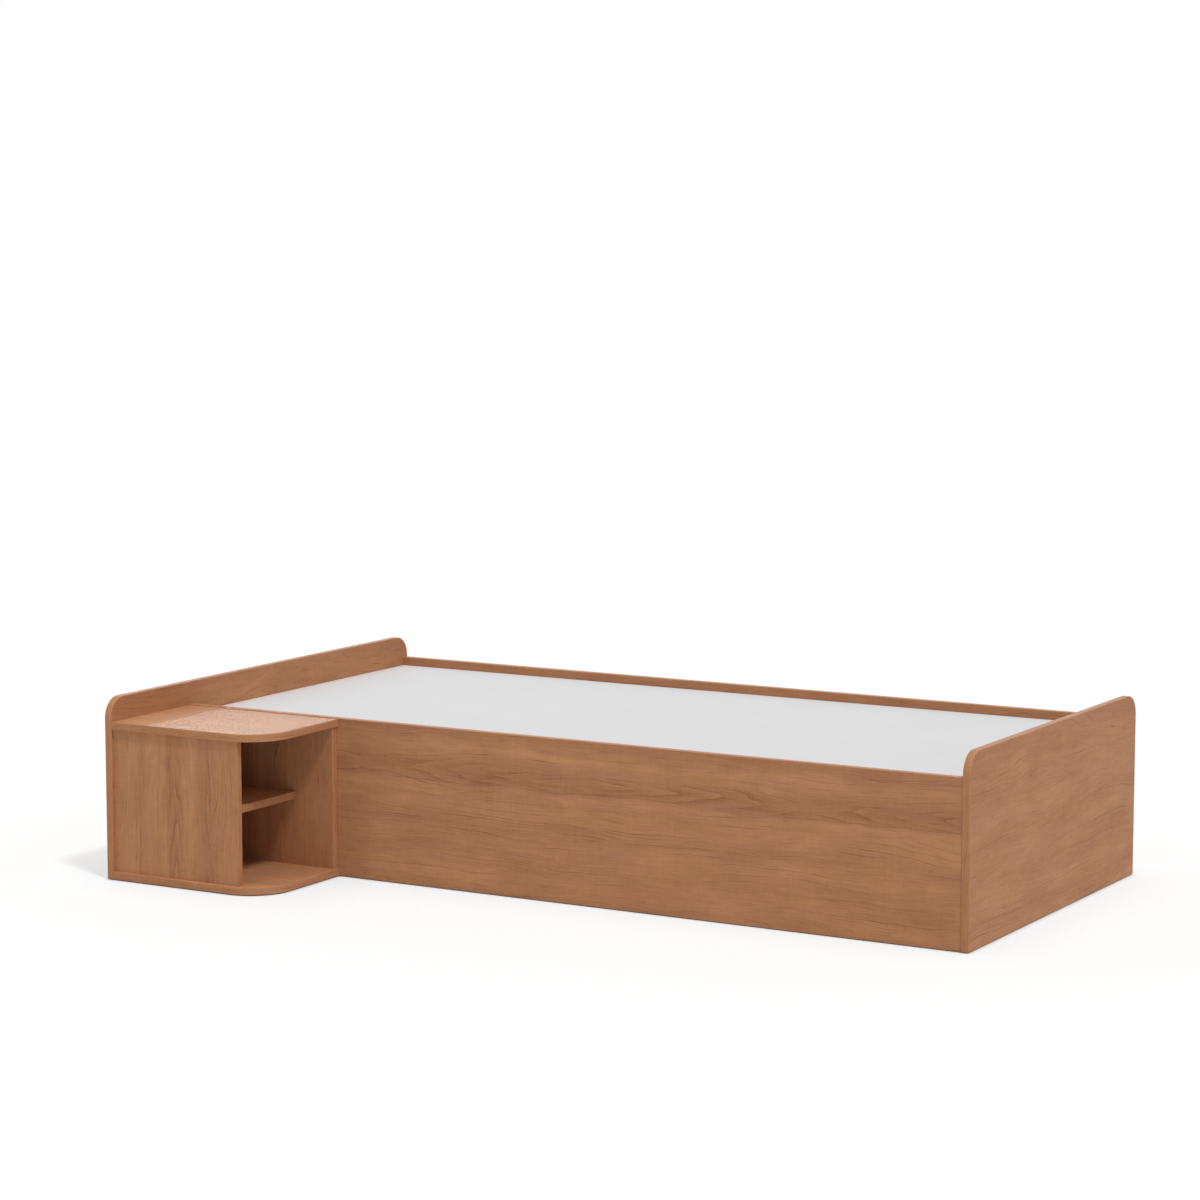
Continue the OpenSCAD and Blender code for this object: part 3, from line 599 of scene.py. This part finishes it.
# makes a bmesh into a piece that rides on a body and stands for a node
def finishPiece(bm, name, material, body, node):
    bmesh.ops.recalc_face_normals(bm, faces=bm.faces)
    for face in bm.faces:
        face.smooth = True
    for edge in bm.edges:
        edge.smooth = len(edge.link_faces) == 2 and edge.calc_face_angle(0) < softAngle
    mesh = bpy.data.meshes.new(name)
    bm.to_mesh(mesh)
    bm.free()
    mesh.materials.append(material)
    piece = bpy.data.objects.new(name, mesh)
    scene.collection.objects.link(piece)
    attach(piece, body)
    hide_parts(node)


# extrudes a ring of edges; returns the new verts and the new ring
def extrudeRing(bm, ring):
    made = bmesh.ops.extrude_edge_only(bm, edges=ring)["geom"]
    verts = [g for g in made if isinstance(g, bmesh.types.BMVert)]
    newRing = [g for g in made if isinstance(g, bmesh.types.BMEdge) and all(v in verts for v in g.verts)]
    return verts, newRing


# bands on the boards' free edges; mm
edging = {
    "thick": 2.0,
    "arris": 1.5,  # radius of the rounded arrises
    "arrisSteps": 5,
    "endCorner": 48,  # outer radius of the end boards' top corners
    "cabinetCorner": 100,
    "turnSteps": 28,
}


# sweeps a section (inner, outer, outer, inner corner) through runs and turns
def sweepEdging(name, node, body, section, moves):
    bm = bmesh.new()
    run = bm.verts.layers.float.new("run")
    lap = bm.verts.layers.float.new("lap")
    corners = [bm.verts.new(p) for p in section]
    bm.faces.new(corners)
    bmesh.ops.bevel(bm, geom=corners[1:3], offset=edging["arris"] / 1000, offset_type="OFFSET",
                    affect="VERTICES", segments=edging["arrisSteps"], profile=0.5, material=-1)
    bm.faces.ensure_lookup_table()
    cap = bm.faces[0]
    outline = list(cap.verts)
    start = min(range(len(outline)), key=lambda i: (outline[i].co - Vector(section[0])).length)
    outline = outline[start:] + outline[:start]
    for before, vert in zip(outline, outline[1:]):
        vert[lap] = before[lap] + (vert.co - before.co).length
    ring = list(cap.edges)
    travelled = 0.0
    for move in moves:
        steps = move.get("steps", 1)
        for step in range(steps):
            verts, ring = extrudeRing(bm, ring)
            if "by" in move:
                bmesh.ops.translate(bm, verts=verts, vec=Vector(move["by"]) / steps)
                travelled += Vector(move["by"]).length / steps
            else:
                bmesh.ops.rotate(bm, verts=verts, cent=move["about"],
                                 matrix=Matrix.Rotation(move["angle"] / steps, 3, move["axis"]))
                travelled += abs(move["angle"]) * move["radius"] / steps
            for vert in verts:
                vert[run] = travelled
    bmesh.ops.contextual_create(bm, geom=ring)
    grain = bm.loops.layers.uv.new("grain")
    for face in bm.faces:
        for loop in face.loops:
            loop[grain].uv = (loop.vert[run], loop.vert[lap])
    finishPiece(bm, name, edgingMaterial, body, node)


# up one side of an end board, over the top and down the other side
def edgeEndBoard(name, node):
    low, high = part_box(node)
    inner = low.y + edging["thick"] / 1000
    radius = edging["endCorner"] / 1000
    section = [(high.x, inner, low.z), (high.x, low.y, low.z), (low.x, low.y, low.z), (low.x, inner, low.z)]
    upright = high.z - low.z - radius
    turn = {"axis": "X", "angle": -math.pi / 2, "radius": radius, "steps": edging["turnSteps"]}
    sweepEdging(name, node, "bed_frame", section, [
        {"by": (0, 0, upright)},
        {**turn, "about": (0, low.y + radius, high.z - radius)},
        {"by": (0, high.y - low.y - 2 * radius, 0)},
        {**turn, "about": (0, high.y - radius, high.z - radius)},
        {"by": (0, 0, -upright)},
    ])


# front edge, round corner and free end of the cabinet's flat boards
def edgeCabinetBoard(name, node):
    low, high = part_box(node)
    inner = low.y + edging["thick"] / 1000
    radius = edging["cabinetCorner"] / 1000
    section = [(low.x, inner, low.z), (low.x, low.y, low.z), (low.x, low.y, high.z), (low.x, inner, high.z)]
    sweepEdging(name, node, "bed_frame", section, [
        {"by": (high.x - low.x - radius, 0, 0)},
        {"axis": "Z", "angle": math.pi / 2, "radius": radius, "steps": edging["turnSteps"],
         "about": (high.x - radius, low.y + radius, 0)},
        {"by": (0, high.y - low.y - radius, 0)},
    ])


# a straight band; axes are the way that it faces, its width and its run
def edgeStraight(name, node, body, axes):
    low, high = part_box(node)
    facing, width, run = ("XYZ".index(axis) for axis in axes)
    section = []
    for outer, far in ((low, low), (high, low), (high, high), (low, high)):
        corner = low.copy()
        corner[facing] = outer[facing]
        corner[width] = far[width]
        section.append(corner)
    move = Vector((0, 0, 0))
    move[run] = high[run] - low[run]
    sweepEdging(name, node, body, section, [{"by": move}])


edgeEndBoard("headboardBand", "headboard_edging")
edgeEndBoard("footboardBand", "footboard_edging")
edgeStraight("frontRailBand", "front_rail_edging", "bed_frame", "ZYX")
edgeStraight("rearRailBand", "rear_rail_edging", "bed_frame", "ZYX")
edgeCabinetBoard("cabinetTopBand", "cabinet_top_edging")
edgeCabinetBoard("cabinetBottomBand", "cabinet_bottom_edging")
edgeStraight("cabinetFrontBand", "cabinet_front_edging", "bed_frame", "XYZ")
edgeStraight("cabinetBackBand", "cabinet_back_edging", "bed_frame", "XYZ")
edgeStraight("shelfBand", "cabinet_shelf_edging", "loose_shelf", "XZY")
print("edging swept")

mergeDistance = 1e-6  # metres
rimDistance = 1e-5


# middles of the two ends of each solid in a node, the wider end first, and the solids' length in mm, read
# off the node's own mesh; a solid lies along its longest side unless an axis is given
def endsOf(node, axis=None):
    bm = bmesh.new()
    bm.from_mesh(nodes[node].data)
    bmesh.ops.remove_doubles(bm, verts=bm.verts, dist=mergeDistance)
    left = set(bm.verts)
    ends = []
    while left:
        solid, front = [], [left.pop()]
        while front:
            vert = front.pop()
            solid.append(vert.co.copy())
            linked = {edge.other_vert(vert) for edge in vert.link_edges} & left
            left -= linked
            front += linked
        low = Vector([min(co[i] for co in solid) for i in range(3)])
        high = Vector([max(co[i] for co in solid) for i in range(3)])
        along = max(range(3), key=lambda i: high[i] - low[i]) if axis is None else axis
        side = (along + 1) % 3
        places, widths = [], []
        for end in (low, high):
            rim = [co[side] for co in solid if abs(co[along] - end[along]) < rimDistance]
            middle = (low + high) / 2
            middle[along] = end[along]
            places.append(middle)
            widths.append(max(rim) - min(rim))
        ends.append(places if widths[0] >= widths[1] else places[::-1])
    bm.free()
    return ends, (ends[0][1] - ends[0][0]).length * 1000


def startRing(bm, sides, radius):
    verts = bmesh.ops.create_circle(bm, cap_ends=True, segments=sides, radius=radius / 1000)["verts"]
    return [e for e in bm.edges if all(v in verts for v in e.verts)]


# draws a ring of edges out through steps of radius and height in mm, then closes it
def drawOut(bm, ring, steps):
    radius, height = steps[0]
    for newRadius, newHeight in steps[1:]:
        verts, ring = extrudeRing(bm, ring)
        wider = newRadius / radius
        bmesh.ops.scale(bm, verts=verts, vec=(wider, wider, 1))
        bmesh.ops.translate(bm, verts=verts, vec=(0, 0, (newHeight - height) / 1000))
        radius, height = newRadius, newHeight
    bmesh.ops.contextual_create(bm, geom=ring)


# copies a shape that was made along Z onto each pair of ends, and takes the first away
def setOut(bm, ends):
    first = bm.verts[:] + bm.edges[:] + bm.faces[:]
    firstVerts = bm.verts[:]
    for head, tip in ends:
        made = bmesh.ops.duplicate(bm, geom=first)["geom"]
        verts = [g for g in made if isinstance(g, bmesh.types.BMVert)]
        turn = (tip - head).to_track_quat("Z", "Y").to_matrix().to_4x4()
        bmesh.ops.transform(bm, matrix=Matrix.Translation(head) @ turn, verts=verts)
    bmesh.ops.delete(bm, geom=firstVerts, context="VERTS")


# where a thread leaves its core, lies on its crest and is back at its core, in shares of a turn
threadTurn = {"coreEnd": 0.3, "crestStart": 0.55, "crestEnd": 0.65, "coreStart": 0.9}


# rings of a thread from one height to another, core and crest in turn
def threadSteps(core, crest, low, high, pitch):
    steps = []
    for turn in range(int((high - low) / pitch)):
        foot = low + turn * pitch
        steps += [
            (core, foot + threadTurn["coreEnd"] * pitch),
            (crest, foot + threadTurn["crestStart"] * pitch),
            (crest, foot + threadTurn["crestEnd"] * pitch),
            (core, foot + threadTurn["coreStart"] * pitch),
        ]
    return steps


# countersunk chipboard screws with a cross recess; mm
screw = {
    "head": 8.0, "rim": 0.3, "shank": 4.0,
    "plain": 2.0,  # shank without thread under the head
    "runIn": 0.4,  # from the shank down to the thread's core
    "core": 2.7, "pitch": 1.8,
    "tip": 4.0, "point": 0.2,  # length of the tip, and radius of its end
    "recess": 4.4, "slot": 1.1, "recessDepth": 1.7,
    "recessTaper": 0.6,  # size of the recess's floor against its mouth
}


def makeScrews(name, node):
    ends, length = endsOf(node)
    head, shank, core, reach, half = (screw[key] / 2 for key in ("head", "shank", "core", "recess", "slot"))
    bm = bmesh.new()
    # the head's face is a grid of 5 by 5 faces; its lines are 1, 3 and 5 steps from the middle, and go to
    # the cross's sides, to its ends and to the rim's circle
    lines = {1: half / 1000, 3: reach / 1000, 5: head / 1000}
    for vert in bmesh.ops.create_grid(bm, x_segments=5, y_segments=5, size=1)["verts"]:
        steps = [round(abs(c) * 5) for c in vert.co.xy]
        place = Vector([math.copysign(lines[step], c) for step, c in zip(steps, vert.co.xy)])
        vert.co.xy = place.normalized() * lines[5] if 5 in steps else place
    rim = [edge for edge in bm.edges if edge.is_boundary]
    cross = []
    for face in bm.faces:
        near, far = sorted(abs(c) for c in face.calc_center_median().xy)
        if near < lines[1] / 2 and far < lines[3]:
            cross.append(face)
    made = bmesh.ops.extrude_face_region(bm, geom=cross)["geom"]
    bmesh.ops.delete(bm, geom=cross, context="FACES")
    floorVerts = [g for g in made if isinstance(g, bmesh.types.BMVert)]
    bmesh.ops.scale(bm, verts=floorVerts, vec=(screw["recessTaper"], screw["recessTaper"], 1))
    bmesh.ops.translate(bm, verts=floorVerts, vec=(0, 0, screw["recessDepth"] / 1000))
    sink = screw["rim"] + head - shank
    plainEnd = sink + screw["plain"]
    threadStart = plainEnd + screw["runIn"]
    threadEnd = length - screw["tip"]
    drawOut(bm, rim, [
        (head, 0), (head, screw["rim"]), (shank, sink), (shank, plainEnd), (core, threadStart),
        *threadSteps(core, shank, threadStart, threadEnd, screw["pitch"]),
        (core, threadEnd), (screw["point"], length),
    ])
    setOut(bm, ends)
    finishPiece(bm, name, finishes["zincPlate"], "bed_frame", node)


makeScrews("battenScrews", "batten_screws")
makeScrews("cabinetScrews", "cabinet_screws")

# cam bolts: head, neck, shank and a coarse thread, turned in one; mm
camBolt = {
    "head": 6.5, "headLong": 3.0, "headChamfer": 0.6,
    "neck": 4.2, "neckLong": 6.0,
    "shank": 5.6, "shoulder": 0.4,
    "thread": 5.0, "core": 3.6, "threadLong": 11.0, "pitch": 1.75,
    "tipLong": 1.0, "tipChamfer": 0.8,
    "sides": 24,
}


def makeBolts(name, node):
    ends, length = endsOf(node)
    head, neck, shank = (camBolt[key] / 2 for key in ("head", "neck", "shank"))
    crest, core = camBolt["thread"] / 2, camBolt["core"] / 2
    chamfer = camBolt["headChamfer"]
    headEnd = camBolt["headLong"]
    neckEnd = headEnd + camBolt["neckLong"]
    threadStart = length - camBolt["threadLong"]
    threadEnd = length - camBolt["tipLong"]
    bm = bmesh.new()
    drawOut(bm, startRing(bm, camBolt["sides"], head - chamfer), [
        (head - chamfer, 0), (head, chamfer), (head, headEnd - chamfer), (neck, headEnd), (neck, neckEnd),
        (shank, neckEnd + camBolt["shoulder"]), (shank, threadStart), (core, threadStart),
        *threadSteps(core, crest, threadStart, threadEnd, camBolt["pitch"]),
        (core, threadEnd), (core - camBolt["tipChamfer"], length),
    ])
    setOut(bm, ends)
    finishPiece(bm, name, finishes["zincPlate"], "bed_frame", node)


makeBolts("railCamBolts", "rail_cam_bolts")
makeBolts("crossPanelBolts", "cross_panel_bolts")
makeBolts("cabinetCamBolts", "cabinet_cam_bolts")

# fluted dowels with chamfered ends; mm
dowel = {"across": 8.0, "flutes": 12, "fluteSides": 3, "fluteDepth": 0.4, "chamfer": 1.0}


def makeDowels(name, node):
    ends, length = endsOf(node)
    radius, chamfer = dowel["across"] / 2, dowel["chamfer"]
    bm = bmesh.new()
    ring = startRing(bm, dowel["fluteSides"] * dowel["flutes"], radius - chamfer)
    grooves = [vert for number, vert in enumerate(bm.verts) if number % dowel["fluteSides"] == 0]
    inward = 1 - dowel["fluteDepth"] / radius
    bmesh.ops.scale(bm, verts=grooves, vec=(inward, inward, 1))
    drawOut(bm, ring, [
        (radius - chamfer, 0), (radius, chamfer), (radius, length - chamfer), (radius - chamfer, length),
    ])
    setOut(bm, ends)
    finishPiece(bm, name, finishes["turnedBeech"], "bed_frame", node)


makeDowels("railDowels", "rail_dowels")
makeDowels("cabinetDowels", "cabinet_dowels")

# shelf pins: a round shank out of a block with rounded edges under the shelf; mm
shelfPin = {"shank": 5.0, "shankChamfer": 0.7, "block": 8.0, "reach": 9.0, "round": 0.8, "roundSteps": 3}


def makePins(name, node):
    ends, length = endsOf(node)
    radius, half, reach = shelfPin["shank"] / 2, shelfPin["block"] / 2, shelfPin["reach"]
    chamfer = shelfPin["shankChamfer"]
    bm = bmesh.new()
    # the block's face is a grid of 7 by 7 faces; its border is 7 steps from the middle, and the lines at
    # 5 steps become the round edge of a hole for the shank
    grid = bmesh.ops.create_grid(bm, x_segments=7, y_segments=7, size=half / 1000,
                                 matrix=Matrix.Translation((0, 0, reach / 1000)))["verts"]
    steps = {vert: round(max(abs(vert.co.x), abs(vert.co.y)) * 7000 / half) for vert in grid}
    hole = [vert for vert in grid if steps[vert] == 5]
    for vert in hole:
        vert.co.xy = vert.co.xy.normalized() * radius / 1000
    bmesh.ops.delete(bm, geom=[vert for vert in grid if steps[vert] < 5], context="VERTS")
    blockRing = [edge for edge in bm.edges if edge.is_boundary and edge.verts[0] not in hole]
    drawOut(bm, blockRing, [(half, reach), (half, 0)])
    squareEdges = [edge for edge in bm.edges if edge.calc_face_angle(0) > math.radians(60)]
    bmesh.ops.bevel(bm, geom=squareEdges, offset=shelfPin["round"] / 1000, offset_type="OFFSET",
                    affect="EDGES", segments=shelfPin["roundSteps"], profile=0.5, material=-1)
    shankRing = [edge for edge in bm.edges if edge.is_boundary]
    drawOut(bm, shankRing, [(radius, reach), (radius, length - chamfer), (radius - chamfer, length)])
    setOut(bm, ends)
    finishPiece(bm, name, finishes["clearPlastic"], "bed_frame", node)


makePins("shelfPins", "shelf_pins")

# nail-in glides: a low domed foot with a nail; mm from the floor
glide = {
    "across": 16.0, "high": 2.0,
    "dome": [(0.6, 0), (0.78, 0.12), (0.91, 0.45), (0.98, 0.95), (1, 1.5)],  # share of the radius, height
    "nail": 2.5, "nailTip": 3.0, "nailPoint": 0.2,
    "sides": 32,
}


def makeGlides(name, node):
    ends, length = endsOf(node, axis=2)
    radius, nail, high = glide["across"] / 2, glide["nail"] / 2, glide["high"]
    dome = [(share * radius, height) for share, height in glide["dome"]]
    bm = bmesh.new()
    drawOut(bm, startRing(bm, glide["sides"], dome[0][0]), [
        *dome, (radius, high), (nail, high),
        (nail, length - glide["nailTip"]), (glide["nailPoint"], length),
    ])
    setOut(bm, ends)
    finishPiece(bm, name, finishes["blackPlastic"], "bed_frame", node)


makeGlides("floorGlides", "floor_glides")
print("fittings made")

# soft room light, a key lamp from the right, a wide one overhead, a low one behind that glances off tops
studio = {
    "floorSize": 80,  # metres
    "floorColour": "#e5e5e5",  # what the object gets back from the floor
    "floorShade": "#cacaca",  # how strongly the camera sees its shadows
    "floorGlow": 0.615,  # brings the lit floor up to white for the camera
    "farGlow": "#d5d5d5",
    "nearGlow": "#d8e8f0",  # painted cool glow beside the boards, against the warm light that they throw on the floor
    "nearMm": 300,
    "contactMm": 14,  # reach of the painted contact shade, a dark line where boards meet the floor
    "nearRays": 6,  # samples of what lies near a place on the floor
    "insideMm": 9,  # from the mattress base's sides to the middle of the boards round it
    "sky": 0.43,
    "lamps": {
        "key": {"strength": 1.1, "from": (0.481, -0.240, 0.843), "angle": 6.5},
        "overhead": {"strength": 0.9, "from": (0, 0, 1), "angle": 50},
        "back": {"strength": 0.045, "from": (-0.588, 0.740, 0.316), "angle": 2},
    },
}


# 1 for rays that show a surface to the camera, straight or by way of metal or glass, 0 for rays that light
def seenRays(tree):
    path = addNode(tree, "LightPath")
    seen = path["Is Camera Ray"]
    for kind in ("Is Glossy Ray", "Is Transmission Ray"):
        seen = addNode(tree, "Math", {0: seen, 1: path[kind]}, operation="MAXIMUM")[0]
    return seen


bm = bmesh.new()
bmesh.ops.create_grid(bm, x_segments=1, y_segments=1, size=studio["floorSize"] / 2)
# the floor inside the bed is cut free, because it isn't brought up to white
insideLow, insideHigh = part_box("mattress_base")
margin = Vector((studio["insideMm"], studio["insideMm"], 0)) / 1000
insideLow, insideHigh = insideLow - margin, insideHigh + margin
for corner in (insideLow, insideHigh):
    for normal in ((1, 0, 0), (0, 1, 0)):
        bmesh.ops.bisect_plane(bm, geom=bm.verts[:] + bm.edges[:] + bm.faces[:],
                               plane_co=(corner.x, corner.y, 0), plane_no=normal)
for face in bm.faces:
    middle = face.calc_center_median()
    inside = insideLow.x < middle.x < insideHigh.x and insideLow.y < middle.y < insideHigh.y
    face.material_index = int(inside)
floorMesh = bpy.data.meshes.new("floor")
bm.to_mesh(floorMesh)
bm.free()
floor = bpy.data.objects.new("floor", floorMesh)
scene.collection.objects.link(floor)
floorMaterial, tree = newMaterial("floorPaper")
seen = seenRays(tree)
paperColour = addNode(tree, "Mix", {
    0: seen, 6: toLinear(studio["floorColour"]), 7: toLinear(studio["floorShade"])
}, data_type="RGBA")[2]
paper = addNode(tree, "BsdfDiffuse", {"Color": paperColour})[0]
clear, free = (addNode(tree, "AmbientOcclusion", {
    "Distance": studio[reach] / 1000
}, samples=studio["nearRays"])["AO"] for reach in ("contactMm", "nearMm"))
# the glow is cut by short-reach ambient occlusion: painted contact shade where boards meet the floor
glowStrength = addNode(tree, "Math", {0: seen, 1: studio["floorGlow"]}, operation="MULTIPLY")[0]
glowStrength = addNode(tree, "Math", {0: glowStrength, 1: clear}, operation="MULTIPLY")[0]
# near the boards, long-reach ambient occlusion turns the glow cooler: painted light against their warm
# bounce
glowColour = addNode(tree, "Mix", {
    0: free, 6: toLinear(studio["nearGlow"]), 7: toLinear(studio["farGlow"])
}, data_type="RGBA")[2]
glow = addNode(tree, "Emission", {"Color": glowColour, "Strength": glowStrength})[0]
lit = addNode(tree, "AddShader", {0: paper, 1: glow})[0]
addNode(tree, "OutputMaterial", {"Surface": lit})
floorMesh.materials.append(floorMaterial)
insideMaterial, tree = newMaterial("floorPaperInside")
paper = addNode(tree, "BsdfDiffuse", {"Color": toLinear(studio["floorShade"])})[0]
addNode(tree, "OutputMaterial", {"Surface": paper})
floorMesh.materials.append(insideMaterial)

world = bpy.data.worlds.new("studio")
scene.world = world
world.use_nodes = True
tree = world.node_tree
tree.nodes.clear()
strength = addNode(tree, "MapRange", {"Value": seenRays(tree), "To Min": studio["sky"], "To Max": 1.0})[0]
sky = addNode(tree, "Background", {"Color": (1, 1, 1, 1), "Strength": strength})[0]
addNode(tree, "OutputWorld", {"Surface": sky})

for name, look in studio["lamps"].items():
    lamp = bpy.data.lights.new(name + "Lamp", "SUN")
    lamp.energy = look["strength"]
    lamp.angle = math.radians(look["angle"])
    lampObject = bpy.data.objects.new(name + "Lamp", lamp)
    lampObject.rotation_mode = "QUATERNION"
    lampObject.rotation_quaternion = Vector(look["from"]).to_track_quat("Z", "Y")
    scene.collection.objects.link(lampObject)
scene.view_settings.view_transform = "Standard"
print("studio lit")
